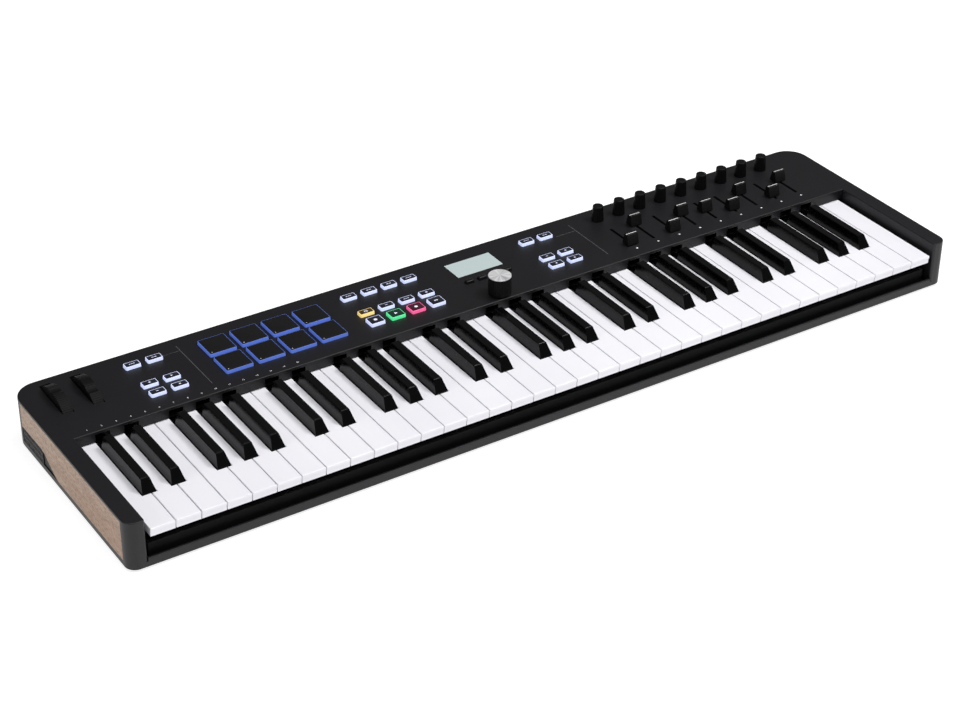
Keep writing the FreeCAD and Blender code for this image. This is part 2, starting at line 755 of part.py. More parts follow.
def make_keys():
    """Keys of one name share a node. The highest C has no black key beside it, so its shape differs."""
    lower_cs = make_white_key(0, "lower_c", OCTAVES)
    highest_c = make_white_key(TOP_WHITE, "highest_c", 1)
    finish(group("keys_c", [lower_cs, highest_c]))
    for number, name in list(enumerate(WHITE_KEYS))[1:]:
        finish(make_white_key(number, name, OCTAVES))
    for name, whites, shift in BLACK_KEYS:
        make_black_key(name, whites, shift)


def key_middles():
    """Middle of every key's stem, from the lowest key to the highest."""
    middles = []
    for octave in range(OCTAVES):
        for number in range(WHITES_IN_OCTAVE):
            _, _, neck_left, neck_right = white_neck(number)
            middles.append("((%s + %s) / 2 + %d * %s)" % (neck_left, neck_right, octave, OCTAVE))
        for _, whites, shift in BLACK_KEYS:
            middles.append("(%s + %d * %s)" % (black_middle(whites, shift), octave, OCTAVE))
    middles.append("(%s + %s * white_pitch)" % (KEYS_LEFT, TOP_WHITE + 0.5))
    return middles


def make_chassis():
    """Moulded keybed: floor, front rail and the rib that the keys hook on to."""
    left = "-18 * white_pitch"
    length = "36 * white_pitch"
    floor = block("ChassisFloor", left, "-112", TRAY_FLOOR, length, "112 + stem_rear + 2",
                  "chassis_floor")
    rail = block("ChassisRail", left, "-112", TRAY_FLOOR, length, "4", "chassis_rail - " + TRAY_FLOOR)
    web = block("PivotWeb", left, "pivot_row - pivot_web / 2", TRAY_FLOOR, length, "pivot_web",
                "pivot_level - " + TRAY_FLOOR)
    rib = rod("PivotRib", left, "pivot_row", "pivot_level", "pivot_radius", length, axis="X")
    gussets = []
    for step in range(13):
        x = "-18 * white_pitch + %d * 3 * white_pitch" % step
        start = x if step == 0 else x + " - 1"
        start = x + " - 2" if step == 12 else start
        gussets.append(block("FrontGusset%d" % step, start, "-109", TRAY_FLOOR, "2", "22", "9"))
    finish(fuse("key_chassis", [floor, rail, web, rib] + gussets))


def make_key_springs():
    """One leaf spring under the stem of each key, just ahead of the pivot."""
    springs = []
    for number, middle in enumerate(key_middles()):
        springs.append(centred_block("Spring%d" % number, middle, "pivot_row - 9.5",
                                     TRAY_FLOOR + " + chassis_floor", "4", "0.5",
                                     "stem_floor - 1.2 - %s - chassis_floor" % TRAY_FLOOR))
    finish(group("key_springs", springs))


def make_contact_parts():
    """Key contact board and the rubber strip with one dome for each key."""
    board = block("ContactBoard", "-18 * white_pitch + 3", "-20", TRAY_FLOOR + " + chassis_floor",
                  "36 * white_pitch - 6", "40", "board_thickness")
    board.Label = "key_contact_board"
    finish(board)
    level = TRAY_FLOOR + " + chassis_floor + board_thickness"
    items = [block("StripBase", "-18 * white_pitch + 4", "-6", level, "36 * white_pitch - 8", "12",
                   "1.4")]
    for number, middle in enumerate(key_middles()):
        items.append(cone("Dome%d" % number, middle, "0", level, "3.4", "2.2", "dome_top - (%s)" % level))
    finish(fuse("contact_strip", items))


# ---------------------------------------------------------------- wheels

def make_wheel(label, x, lean):
    """A wheel whose rim is only as long as its travel needs, with a thumb dip and moulded axle ends."""
    level = PANEL_TOP + " - wheel_sink"
    disc = rod("Disc_" + label, x + " - wheel_width / 2", "wheel_row", level, "wheel_radius",
               "wheel_width", axis="X")
    sector = doc.addObject("Part::Cylinder", "Sector_" + label)
    sector.setExpression("Radius", bound("wheel_radius + 5"))
    sector.setExpression("Height", bound("wheel_width + 2"))
    sector.setExpression("Angle", bound("2 * wheel_reach"))
    half = DRIVING_SIZES["wheel_reach"]
    turn = FreeCAD.Rotation(FreeCAD.Vector(0, 1, 0), 90)
    sector.Placement = FreeCAD.Placement(
        FreeCAD.Vector(), FreeCAD.Rotation(FreeCAD.Vector(1, 0, 0), lean) * turn
        * FreeCAD.Rotation(FreeCAD.Vector(0, 0, 1), 180 - half))
    place(sector, x + " - wheel_width / 2 - 1", "wheel_row", level)
    rim = doc.addObject("Part::Common", "Rim_" + label)
    rim.Base = disc
    rim.Tool = sector
    hub = rod("Hub_" + label, x + " - wheel_width / 2", "wheel_row", level, "wheel_hub", "wheel_width",
              axis="X")
    axle = rod("Axle_" + label, x + " - 8.2", "wheel_row", level, "axle_radius", "16.4 + 6", axis="X")
    if label == "mod_wheel":
        axle.setExpression("Placement.Base.x", bound(x + " - 14.2"))
    blank = fuse("blank_" + label, [rim, hub, axle])
    reach = "(wheel_radius + dip_radius - dip_depth)"
    dip = rod("Dip_" + label, x + " - wheel_width / 2 - 1",
              "wheel_row - %s * sin(%.4f deg)" % (reach, lean),
              "%s + %s * cos(%.4f deg)" % (level, reach, lean),
              "dip_radius", "wheel_width + 2", axis="X")
    finish(cut(label, blank, [dip]))


def make_wheel_bracket():
    """Bracket on the tray floor that carries both wheel axles."""
    left = "pitch_column - 8.8"
    length = "mod_column - pitch_column + 17.6"
    floor = block("BracketFloor", left, "wheel_row - 9", TRAY_FLOOR, length, "18", "2")
    level = PANEL_TOP + " - wheel_sink"
    sides = [
        block("BracketLeft", left, "wheel_row - 7", TRAY_FLOOR, "2.4", "14",
              level + " - %s + 6" % TRAY_FLOOR),
        block("BracketMiddle", "(pitch_column + mod_column) / 2 - 6.6", "wheel_row - 7", TRAY_FLOOR,
              "13.2", "14", level + " - %s + 6" % TRAY_FLOOR),
        block("BracketRight", "mod_column + 6.4", "wheel_row - 7", TRAY_FLOOR, "2.4", "14",
              level + " - %s + 6" % TRAY_FLOOR)]
    blank = fuse("bracket_blank", [floor] + sides)
    bore = rod("BracketBore", left + " - 1", "wheel_row", level, "axle_radius + axle_fit",
               length + " + 2", axis="X")
    finish(cut("wheel_bracket", blank, [bore]))


# ---------------------------------------------------------------- controls

def make_knob(number):
    """Ribbed knob moulded together with its spindle."""
    x = column(number)
    body = new_body("knob_%d" % (number + 1))
    skirt = PANEL_TOP + " + knob_lift"
    cap = body.newObject("PartDesign::AdditiveCone", "Cap%d" % number)
    cap.setExpression("Radius1", bound("knob_base"))
    cap.setExpression("Radius2", bound("knob_tip"))
    cap.setExpression("Height", bound("knob_height"))
    place(cap, x, "knob_row", skirt)
    spindle = new_sketch(body, "Spindle%d" % number, offset=skirt)
    draw_circle(spindle, x, "knob_row", "spindle_radius")
    shaft = pad(body, spindle, skirt + " - board_level - board_thickness - 2")
    shaft.Reversed = True
    tip = DRIVING_SIZES["foot_height"] + DRIVING_SIZES["case_height"] + 10
    round_edges(body, "Fillet", "0.7", lambda edge: edge.BoundBox.ZMin > tip)
    tools = []
    slant = math.degrees(math.atan2(DRIVING_SIZES["knob_base"] - DRIVING_SIZES["knob_tip"],
                                    DRIVING_SIZES["knob_height"]))
    count = 20
    for step in range(count):
        around = 360.0 * step / count
        groove = rod("Flute_%d_%d" % (number, step), x, "knob_row", skirt, "0.42", "knob_height - 1.6")
        groove.Placement.Rotation = (FreeCAD.Rotation(FreeCAD.Vector(0, 0, 1), around)
                                     * FreeCAD.Rotation(FreeCAD.Vector(0, 1, 0), -slant))
        place(groove, "%s + (knob_base + 0.1) * cos(%.1f deg)" % (x, around),
              "knob_row + (knob_base + 0.1) * sin(%.1f deg)" % around, skirt + " - 0.2")
        tools.append(groove)
    item = cut("knob_%d" % (number + 1), body, [group("flutes_%d" % number, tools)])
    body.Label = "knob_blank_%d" % (number + 1)
    item.Label = "knob_%d" % (number + 1)
    finish(item)


def make_fader_cap(number):
    """Saddle-shaped cap with the lever that it is pushed on to."""
    x = column(number)
    parked = FADER_PARKED[number]
    body = new_body("fader_cap_%d" % (number + 1))
    y = "(fader_low + %s)" % parked
    foot = PANEL_TOP + " + 1"
    side = new_sketch(body, "Side%d" % number, role="YZ_Plane", offset=x)
    draw_polygon(side, [
        (y + " - fader_cap_depth / 2", foot), (y + " + fader_cap_depth / 2", foot),
        (y + " + fader_cap_depth / 2 - 0.8", foot + " + 3"),
        (y + " + fader_cap_crest / 2", foot + " + fader_cap_height"),
        (y + " - fader_cap_crest / 2", foot + " + fader_cap_height"),
        (y + " - fader_cap_depth / 2 + 0.8", foot + " + 3")])
    pad(body, side, "fader_cap_width", centred=True)
    crest = DRIVING_SIZES["foot_height"] + DRIVING_SIZES["case_height"] + 5
    round_edges(body, "Fillet", "0.5", lambda edge: edge.BoundBox.ZMin > crest)
    lever = new_sketch(body, "Lever%d" % number, offset=foot)
    draw_rectangle(lever, x + " - lever_width / 2", y + " - lever_depth / 2",
                   x + " + lever_width / 2", y + " + lever_depth / 2")
    lever_pad = pad(body, lever, "10")
    lever_pad.Reversed = True
    finish(body)


def make_fader_bodies():
    """Slide potentiometers under the panel."""
    faders = []
    y = "fader_low + fader_travel / 2"
    for number in range(COLUMNS):
        x = column(number)
        shell = centred_block("FaderBody%d" % number, x, "(%s)" % y, BOARD_TOP, "8.4", "48", "6.9")
        slot = centred_block("FaderTrack%d" % number, x, "(%s)" % y, BOARD_TOP + " + 2.4",
                             "fader_slot_width", "fader_slot_length", "6")
        faders.append(cut("fader_body_%d" % number, shell, [slot]))
    finish(group("fader_bodies", faders))


def make_rotary_encoders():
    """Rotary encoders on the board: nine for the knobs, and the one that can also be pushed."""
    encoders = []
    places = [(column(number), "knob_row") for number in range(COLUMNS)]
    places.append(("encoder_column", "encoder_row"))
    for number, (x, y) in enumerate(places):
        box = centred_block("EncoderBox%d" % number, x, y, BOARD_TOP, "11", "11", "5.4")
        neck = rod("EncoderNeck%d" % number, x, y, BOARD_TOP + " + 5", "spindle_radius + 0.8", "4.2")
        bore = rod("EncoderBore%d" % number, x, y, BOARD_TOP + " + 0.8", "spindle_radius + spindle_fit",
                   "10")
        encoders.append(cut("encoder_%d" % number, fuse("encoder_blank_%d" % number, [box, neck]),
                            [bore]))
    finish(group("rotary_encoders", encoders))


def make_push_encoder():
    """Large knob that turns on a shaft, and the shaft that is pushed down with it."""
    skirt = PANEL_TOP + " + encoder_lift"
    shaft = rod("PushShaft", "encoder_column", "encoder_row", BOARD_TOP + " + 2", "spindle_radius",
                skirt + " + 10 - %s - 2" % BOARD_TOP)
    shaft.Label = "push_shaft"
    finish(shaft)
    drum = rod("EncoderDrum", "encoder_column", "encoder_row", skirt, "encoder_radius", "encoder_height")
    bore = rod("EncoderDrumBore", "encoder_column", "encoder_row", skirt + " - 1",
               "spindle_radius + spindle_fit", "11.2")
    flutes = [bore]
    count = 36
    for step in range(count):
        around = 360.0 * step / count
        flutes.append(rod("DrumFlute%d" % step,
                          "encoder_column + (encoder_radius + 0.15) * cos(%.1f deg)" % around,
                          "encoder_row + (encoder_radius + 0.15) * sin(%.1f deg)" % around,
                          skirt + " + 1.2", "0.45", "encoder_height"))
    finish(cut("encoder_knob", drum, flutes))
    disc = new_body("encoder_cap")
    outline = new_sketch(disc, "DiscOutline", offset=skirt + " + encoder_height")
    draw_circle(outline, "encoder_column", "encoder_row", "encoder_radius")
    pad(disc, outline, "encoder_cap_height")
    top = DRIVING_SIZES["foot_height"] + DRIVING_SIZES["case_height"] + 20
    round_edges(disc, "Fillet", "0.4", lambda edge: edge.BoundBox.ZMin > top)
    finish(disc)


def make_button_group(label, left, count, pitch, rows, width, depth):
    """Push buttons with a flange that holds them under the panel."""
    bodies = []
    is_pad = label.endswith("pads")
    for index, row in enumerate(rows):
        body = new_body("%s_row_%d" % (label, index + 1))
        tag = "%s_%d" % (label, index)
        flange = new_sketch(body, "Flange_" + tag, offset=BUTTON_BOTTOM)
        draw_rectangle(flange, "%s - %s / 2 - button_flange" % (left, width),
                       "%s - %s / 2 - button_flange" % (row, depth),
                       "%s + %s / 2 + button_flange" % (left, width),
                       "%s + %s / 2 + button_flange" % (row, depth))
        pad(body, flange, "button_travel + 0.5")
        cap = new_sketch(body, "Cap_" + tag, offset=BUTTON_BOTTOM)
        draw_rectangle(cap, "%s - %s / 2" % (left, width), "%s - %s / 2" % (row, depth),
                       "%s + %s / 2" % (left, width), "%s + %s / 2" % (row, depth))
        pad(body, cap, PANEL_TOP + " + button_rise - " + BUTTON_BOTTOM)
        under = DRIVING_SIZES["foot_height"] + DRIVING_SIZES["case_height"] - DRIVING_SIZES["panel_thickness"]
        round_edges(body, "Fillet", "1.5" if is_pad else "1.1",
                    lambda edge: upright(edge) and edge.BoundBox.ZMax > under + 1)
        round_edges(body, "Fillet", "0.6" if is_pad else "0.5",
                    lambda edge: edge.BoundBox.ZMin > under + 3)
        repeat(body, "X_Axis", pitch, count)
        bodies.append(body)
    if len(bodies) == 1:
        bodies[0].Label = label
        finish(bodies[0])
    else:
        finish(group(label, bodies))


def make_control_board():
    """Main board under the panel with a switch below every button."""
    board = block("MainBoard", "left_column - 26", "22.5", "board_level",
                  "column_first + 8 * column_pitch + 22 - left_column + 26", "83.5", "board_thickness")
    switches = []
    for label, left, count, pitch, rows, _, _ in BUTTON_GROUPS:
        for row in rows:
            for step in range(count):
                switches.append(rod("Switch_" + label, "%s + %d * %s" % (left, step, pitch), row,
                                    BOARD_TOP,
                                    "2.6", BUTTON_BOTTOM + " - button_travel - 0.2 - " + BOARD_TOP))
    finish(group("control_board", [board] + switches))


def make_display():
    """Display module below the panel and the clear window set into it."""
    module = centred_block("DisplayModule", "display_column", "display_row", BOARD_TOP,
                           "display_width + 8", "display_depth + 6",
                           PANEL_UNDER + " - %s - 0.4" % BOARD_TOP)
    module.Label = "display_module"
    finish(module)
    window = new_body("display_window")
    outline = new_sketch(window, "WindowOutline", offset=PANEL_UNDER + " - 0.3")
    draw_rectangle(outline, "display_column - display_width / 2", "display_row - display_depth / 2",
                   "display_column + display_width / 2", "display_row + display_depth / 2")
    pad(window, outline, "panel_thickness + 0.1")
    finish(window)


# ---------------------------------------------------------------- rear sockets

def make_rear_sockets():
    """USB, MIDI and pedal sockets, with their mouths in the rear wall."""
    front = SOCKET_FRONT + " - socket_depth"
    usb = block("UsbShell", "usb_column - 6", front, "socket_level - 5.4", "12", "socket_depth", "10.8")
    usb_room = block("UsbRoom", "usb_column - 4.2", SOCKET_FRONT + " - 9", "socket_level - 3.9", "8.4",
                     "12", "7.8")
    usb_tongue = block("UsbTongue", "usb_column - 2.8", SOCKET_FRONT + " - 9.5", "socket_level - 1.6",
                       "5.6", "8.5", "3.2")
    usb_socket = fuse("usb_socket", [cut("usb_shell", usb, [usb_room]), usb_tongue])
    midi_block = centred_block("MidiBlock", "midi_column", SOCKET_FRONT + " - 13", "socket_level - 9.5",
                               "19", "16", "19")
    midi_nose = rod("MidiNose", "midi_column", SOCKET_FRONT + " - 6", "socket_level", "8", "6", axis="Y")
    ring_outer = rod("MidiRing", "midi_column", SOCKET_FRONT + " - 5.5", "socket_level", "6.9", "8",
                     axis="Y")
    ring_core = rod("MidiCore", "midi_column", SOCKET_FRONT + " - 7", "socket_level", "5.5", "6.4",
                    axis="Y")
    pins = []
    for step in range(5):
        angle = 180.0 + 45.0 * step
        pins.append(rod("MidiPin%d" % step, "midi_column + 3.8 * cos(%.0f deg)" % angle,
                        SOCKET_FRONT + " - 6",
                        "socket_level + 3.8 * sin(%.0f deg)" % angle, "0.8", "8", axis="Y"))
    midi_shell = cut("midi_shell", fuse("midi_blank", [midi_block, midi_nose]), [ring_outer])
    midi_socket = cut("midi_socket", fuse("midi_cored", [midi_shell, ring_core]), pins)
    pedal_block = block("PedalBlock", "pedal_column - 7", front + " - 2", "socket_level - 6.2",
                        "14", "socket_depth - 2", "12.4")
    pedal_nose = rod("PedalNose", "pedal_column", SOCKET_FRONT + " - 5", "socket_level", "pedal_nose",
                     "5", axis="Y")
    pedal_bore = rod("PedalBore", "pedal_column", SOCKET_FRONT + " - 18", "socket_level", "pedal_bore",
                     "20", axis="Y")
    pedal_socket = cut("pedal_socket", fuse("pedal_blank", [pedal_block, pedal_nose]), [pedal_bore])
    finish(group("rear_sockets", [usb_socket, midi_socket, pedal_socket]))


def make_jack_board():
    """Small board that the rear sockets are soldered to, on two pillars."""
    board = block("JackBoard", "usb_column - 16", "case_depth / 2 - wall - 36", "socket_level - 11.2",
                  "pedal_column - usb_column + 32", "34", "board_thickness")
    pillars = []
    for number, x in enumerate(("usb_column - 12", "pedal_column + 12")):
        pillars.append(rod("JackPillar%d" % number, x, "case_depth / 2 - wall - 30", TRAY_FLOOR, "3",
                           "socket_level - 11.2 - " + TRAY_FLOOR))
    finish(fuse("jack_board", [board] + pillars))


# ---------------------------------------------------------------- build and write

make_bottom_case()
make_top_case()
make_cheeks()
make_side_inserts()
make_feet()
make_screws()
make_keys()
make_chassis()
make_key_springs()
make_contact_parts()
make_wheel("pitch_wheel", "pitch_column", 0.0)
make_wheel("mod_wheel", "mod_column", DRIVING_SIZES["mod_lean"])
make_wheel_bracket()
for index in range(COLUMNS):
    make_knob(index)
for index in range(COLUMNS):
    make_fader_cap(index)
make_fader_bodies()
make_rotary_encoders()
make_push_encoder()
for settings in BUTTON_GROUPS:
    make_button_group(*settings)
make_control_board()
make_display()
make_rear_sockets()
make_jack_board()
doc.recompute()

for item in doc.Objects:
    for state in ("Invalid", "Error"):
        if state in item.State:
            raise RuntimeError("%s (%s) is %s: %s" % (item.Name, item.Label, state,
                                                      item.getStatusString()))

os.makedirs("parts", exist_ok=True)
for label, item in parts.items():
    shape = item.Shape
    if shape.isNull() or not shape.isValid() or not shape.Solids:
        raise RuntimeError("%s has no valid solid" % label)
for label, item in parts.items():
    item.Shape.exportStep("parts/%s.step" % label)
print("%d sub-parts written" % len(parts))
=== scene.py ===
"""A 61-key keyboard synthesizer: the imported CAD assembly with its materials, lights and printed marks."""

import json
import math

import bmesh
import bpy
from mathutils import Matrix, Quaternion, Vector


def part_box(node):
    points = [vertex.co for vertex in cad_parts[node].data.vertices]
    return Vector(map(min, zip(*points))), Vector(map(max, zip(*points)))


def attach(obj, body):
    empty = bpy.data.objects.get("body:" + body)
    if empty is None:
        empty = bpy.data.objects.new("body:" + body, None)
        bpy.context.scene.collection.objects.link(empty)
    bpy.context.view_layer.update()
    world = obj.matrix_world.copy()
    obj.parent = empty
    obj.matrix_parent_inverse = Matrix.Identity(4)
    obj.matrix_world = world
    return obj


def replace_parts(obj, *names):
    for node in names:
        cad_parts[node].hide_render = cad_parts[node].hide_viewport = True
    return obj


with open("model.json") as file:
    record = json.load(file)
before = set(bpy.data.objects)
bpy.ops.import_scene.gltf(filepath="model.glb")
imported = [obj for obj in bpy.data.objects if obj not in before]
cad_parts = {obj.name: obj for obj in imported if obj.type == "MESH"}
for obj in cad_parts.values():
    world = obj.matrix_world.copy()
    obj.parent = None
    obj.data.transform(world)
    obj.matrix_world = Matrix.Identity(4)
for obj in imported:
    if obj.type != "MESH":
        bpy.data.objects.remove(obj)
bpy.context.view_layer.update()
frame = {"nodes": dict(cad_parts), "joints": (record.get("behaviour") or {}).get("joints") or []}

MM = 0.001

# The view: the camera stands in front of the left end and looks down across the keys.
CAMERA_PLACE = Vector((-0.99065, -1.48973, 1.12505))
CAMERA_AIM = Vector((-0.05825, -0.04765, 0.04))
CAMERA_ROLL = 0.0068
CAMERA_LENS = 83.7
CAMERA_SENSOR = 36.0

# Materials

# The Mix node's colour sockets, by their places among its sockets for every data type
MIX_COLOUR_A = 6
MIX_COLOUR_B = 7
MIX_COLOUR = 2


def linear(level):
    """The linear value of one display channel from 0 to 255."""
    share = level / 255
    return share / 12.92 if share <= 0.04045 else ((share + 0.055) / 1.055) ** 2.4


def colour(red, green, blue):
    """A shader colour from its display values."""
    return (linear(red), linear(green), linear(blue), 1.0)


def shaded(base, share):
    """The same colour, lighter or darker by a share."""
    return tuple(min(1.0, channel * share) for channel in base[:3]) + (1.0,)


class Finish:
    """A node material with one Principled shader, read in the part's own coordinates."""

    def __init__(self, name, roughness, **constants):
        self.material = bpy.data.materials.new(name)
        self.material.use_nodes = True
        self.tree = self.material.node_tree
        self.shader = self.tree.nodes["Principled BSDF"]
        self.shader.inputs["Roughness"].default_value = roughness
        for socket, value in constants.items():
            self.shader.inputs[socket.replace("_", " ")].default_value = value
        self.place = self.node("TexCoord").outputs["Object"]

    def node(self, kind):
        return self.tree.nodes.new("ShaderNode" + kind)

    def join(self, source, target):
        self.tree.links.new(source, target)

    def moved(self, location=(0, 0, 0), scale=(1, 1, 1), rotation=(0, 0, 0)):
        """The part's coordinates, moved, turned and scaled."""
        mapping = self.node("Mapping")
        mapping.inputs["Location"].default_value = location
        mapping.inputs["Rotation"].default_value = rotation
        mapping.inputs["Scale"].default_value = scale
        self.join(self.place, mapping.inputs["Vector"])
        return mapping.outputs["Vector"]

    def noise(self, scale, detail=2.0, place=None, distortion=0.0):
        texture = self.node("TexNoise")
        texture.inputs["Scale"].default_value = scale
        texture.inputs["Detail"].default_value = detail
        texture.inputs["Distortion"].default_value = distortion
        self.join(place or self.place, texture.inputs["Vector"])
        return texture.outputs["Fac"]

    def wave(self, scale, kind="BANDS", direction="X", place=None, distortion=0.0, detail=2.0):
        texture = self.node("TexWave")
        texture.wave_type = kind
        if kind == "BANDS":
            texture.bands_direction = direction
        else:
            texture.rings_direction = direction
        texture.inputs["Scale"].default_value = scale
        texture.inputs["Distortion"].default_value = distortion
        texture.inputs["Detail"].default_value = detail
        self.join(place or self.place, texture.inputs["Vector"])
        return texture.outputs["Fac"]

    def ramp(self, factor, stops):
        """Colours along a factor: stops are (place, colour)."""
        ramp = self.node("ValToRGB")
        elements = ramp.color_ramp.elements
        while len(elements) < len(stops):
            elements.new(0.5)
        for element, (place, value) in zip(elements, stops):
            element.position = place
            element.color = value
        self.join(factor, ramp.inputs["Fac"])
        return ramp.outputs["Color"]

    def spread(self, factor, low, high):
        """A factor stretched to run from low to high."""
        spread = self.node("MapRange")
        spread.inputs["To Min"].default_value = low
        spread.inputs["To Max"].default_value = high
        self.join(factor, spread.inputs["Value"])
        return spread.outputs["Result"]

    def blend(self, first, second):
        """Two colours multiplied together."""
        mix = self.node("Mix")
        mix.data_type = "RGBA"
        mix.blend_type = "MULTIPLY"
        mix.inputs["Factor"].default_value = 1.0
        self.join(first, mix.inputs[MIX_COLOUR_A])
        self.join(second, mix.inputs[MIX_COLOUR_B])
        return mix.outputs[MIX_COLOUR]

    def paint(self, socket):
        self.join(socket, self.shader.inputs["Base Color"])

    def roughen(self, factor, low, high):
        self.join(self.spread(factor, low, high), self.shader.inputs["Roughness"])

    def bump(self, factor, height, strength=1.0):
        """Surface relief in metres; a second call lies on top of the first."""
        bump = self.node("Bump")
        bump.inputs["Strength"].default_value = strength
        bump.inputs["Distance"].default_value = height
        self.join(factor, bump.inputs["Height"])
        normal = self.shader.inputs["Normal"]
        if normal.links:
            self.join(normal.links[0].from_socket, bump.inputs["Normal"])
        self.join(bump.outputs["Normal"], normal)


def moulded(name, base, roughness, grain=900.0, relief=0.00004, **constants):
    """Moulded plastic or rubber: a fine grain in the surface, and a slow change in tone and sheen."""
    finish = Finish(name, roughness, **constants)
    slow = finish.noise(14.0, detail=3.0)
    finish.paint(finish.ramp(slow, [(0.3, shaded(base, 0.88)), (0.7, shaded(base, 1.12))]))
    finish.roughen(finish.noise(60.0, detail=4.0), roughness - 0.06, roughness + 0.06)
    finish.bump(finish.noise(grain, detail=3.0), relief, 0.35)
    return finish


def case_finish(name):
    """Near-black plastic with a fine spark-eroded texture, a little polished by handling."""
    finish = Finish(name, 0.46, Specular_IOR_Level=0.42)
    slow = finish.noise(6.0, detail=4.0)
    base = colour(13, 12, 16)
    finish.paint(finish.ramp(slow, [(0.3, shaded(base, 0.88)), (0.7, shaded(base, 1.12))]))
    finish.roughen(finish.noise(25.0, detail=5.0), 0.44, 0.54)
    finish.bump(finish.noise(1400.0, detail=2.0), 0.00003, 0.4)
    finish.bump(finish.noise(420.0, detail=3.0), 0.00002, 0.25)
    return finish


def wood_finish(name):
    """Oiled pale walnut: short fine grain along the cheek, flecked with small open pores."""
    finish = Finish(name, 0.55, Specular_IOR_Level=0.3)
    bands = finish.noise(260.0, detail=8.0, place=finish.moved(scale=(1.0, 0.2, 1.0)), distortion=0.6)
    broad = finish.noise(18.0, detail=3.0, place=finish.moved(scale=(1.0, 0.25, 1.0)))
    flecks = finish.noise(1000.0, detail=3.0, place=finish.moved(scale=(1.0, 0.22, 1.0)))
    grain = finish.ramp(
        bands, [(0.3, colour(160, 137, 120)), (0.5, colour(172, 150, 133)), (0.7, colour(184, 163, 146))]
    )
    warmth = finish.ramp(broad, [(0.35, colour(243, 233, 226)), (0.65, colour(255, 255, 255))])
    pores = finish.ramp(flecks, [(0.38, colour(206, 198, 190)), (0.5, colour(255, 255, 255))])
    finish.paint(finish.blend(finish.blend(grain, warmth), pores))
    finish.bump(finish.ramp(flecks, [(0.36, colour(0, 0, 0)), (0.46, colour(255, 255, 255))]), 0.0001, 0.5)
    finish.bump(bands, 0.00005, 0.4)
    finish.roughen(bands, 0.48, 0.62)
    return finish


def white_key_finish(name):
    """Cool white acrylic, smooth with a soft gloss and the faintest waviness."""
    finish = Finish(name, 0.3, Specular_IOR_Level=0.5, Coat_Weight=0.25, Coat_Roughness=0.18)
    slow = finish.noise(9.0, detail=2.0)
    finish.paint(finish.ramp(slow, [(0.3, colour(236, 235, 241)), (0.7, colour(243, 242, 247))]))
    finish.roughen(finish.noise(40.0, detail=3.0), 0.26, 0.36)
    finish.bump(finish.noise(70.0, detail=2.0), 0.00005, 0.2)
    return finish


def black_key_finish(name):
    """Glossy black plastic with faint lengthways streaks in its gloss."""
    finish = Finish(name, 0.16, Specular_IOR_Level=0.24)
    streaks = finish.noise(1300.0, detail=2.0, place=finish.moved(scale=(1.0, 0.02, 1.0)))
    finish.paint(finish.ramp(streaks, [(0.35, colour(2, 2, 3)), (0.65, colour(4, 4, 5))]))
    finish.roughen(streaks, 0.1, 0.24)
    finish.bump(streaks, 0.00004, 0.4)
    return finish


def lit_finish(name, base, light, strength):
    """Milky plastic with a lamp under it; its glow is the same all over."""
    finish = Finish(name, 0.38, Subsurface_Weight=0.2, Emission_Strength=strength)
    finish.shader.inputs["Subsurface Radius"].default_value = (0.002, 0.002, 0.002)
    finish.shader.inputs["Emission Color"].default_value = light
    finish.paint(finish.ramp(finish.noise(180.0, detail=3.0), [(0.3, shaded(base, 0.94)), (0.7, base)]))
    finish.bump(finish.noise(900.0), 0.00002, 0.3)
    return finish


def spun_finish(name, centre):
    """Spun aluminium: fine rings about the knob's axis, and soft streaks of reflected light painted across
    them in its colour.
    """
    finish = Finish(name, 0.34, Metallic=0.35)
    about = finish.moved(location=tuple(-c for c in centre))
    angle = finish.node("TexGradient")
    angle.gradient_type = "RADIAL"
    finish.join(about, angle.inputs["Vector"])
    # Painted reflection: lighter and darker sectors about the axis stand in for the highlights a spun face
    # reflects.
    painted_reflection_rays = finish.noise(6.0, detail=2.0, place=angle.outputs["Fac"])
    finish.paint(finish.ramp(painted_reflection_rays, [(0.32, colour(186, 186, 188)), (0.66, colour(254, 254, 255))]))
    rings = finish.wave(900.0, kind="RINGS", direction="Z", place=about, distortion=1.0)
    finish.bump(rings, 0.00002, 0.5)
    finish.roughen(painted_reflection_rays, 0.28, 0.4)
    return finish


def wheel_finish(name):
    """Black rubberised plastic with fine ridges across the rim."""
    finish = moulded(name, colour(5, 5, 6), 0.6, grain=1100.0, Specular_IOR_Level=0.16)
    parts = finish.node("SeparateXYZ")
    finish.join(finish.moved(location=(0.0, -WHEEL_AXLE[1], -WHEEL_AXLE[2])), parts.inputs["Vector"])
    across = finish.node("CombineXYZ")
    finish.join(parts.outputs["Y"], across.inputs["X"])
    finish.join(parts.outputs["Z"], across.inputs["Y"])
    turn = finish.node("TexGradient")
    turn.gradient_type = "RADIAL"
    finish.join(across.outputs["Vector"], turn.inputs["Vector"])
    ridges = finish.node("Math")
    ridges.operation = "MULTIPLY"
    ridges.inputs[1].default_value = math.tau * WHEEL_RIDGES
    finish.join(turn.outputs["Fac"], ridges.inputs[0])
    rise = finish.node("Math")
    rise.operation = "SINE"
    finish.join(ridges.outputs["Value"], rise.inputs[0])
    finish.bump(finish.spread(rise.outputs["Value"], 0.0, 1.0), 0.0002, 0.6)
    return finish


def metal_finish(name, base, roughness):
    """Plated or turned metal with a faint draw grain."""
    finish = Finish(name, roughness, Metallic=1.0)
    slow = finish.noise(50.0, detail=4.0)
    finish.paint(finish.ramp(slow, [(0.3, shaded(base, 0.85)), (0.7, shaded(base, 1.1))]))
    finish.roughen(slow, roughness - 0.05, roughness + 0.1)
    finish.bump(finish.noise(1500.0, detail=2.0), 0.00002, 0.3)
    return finish


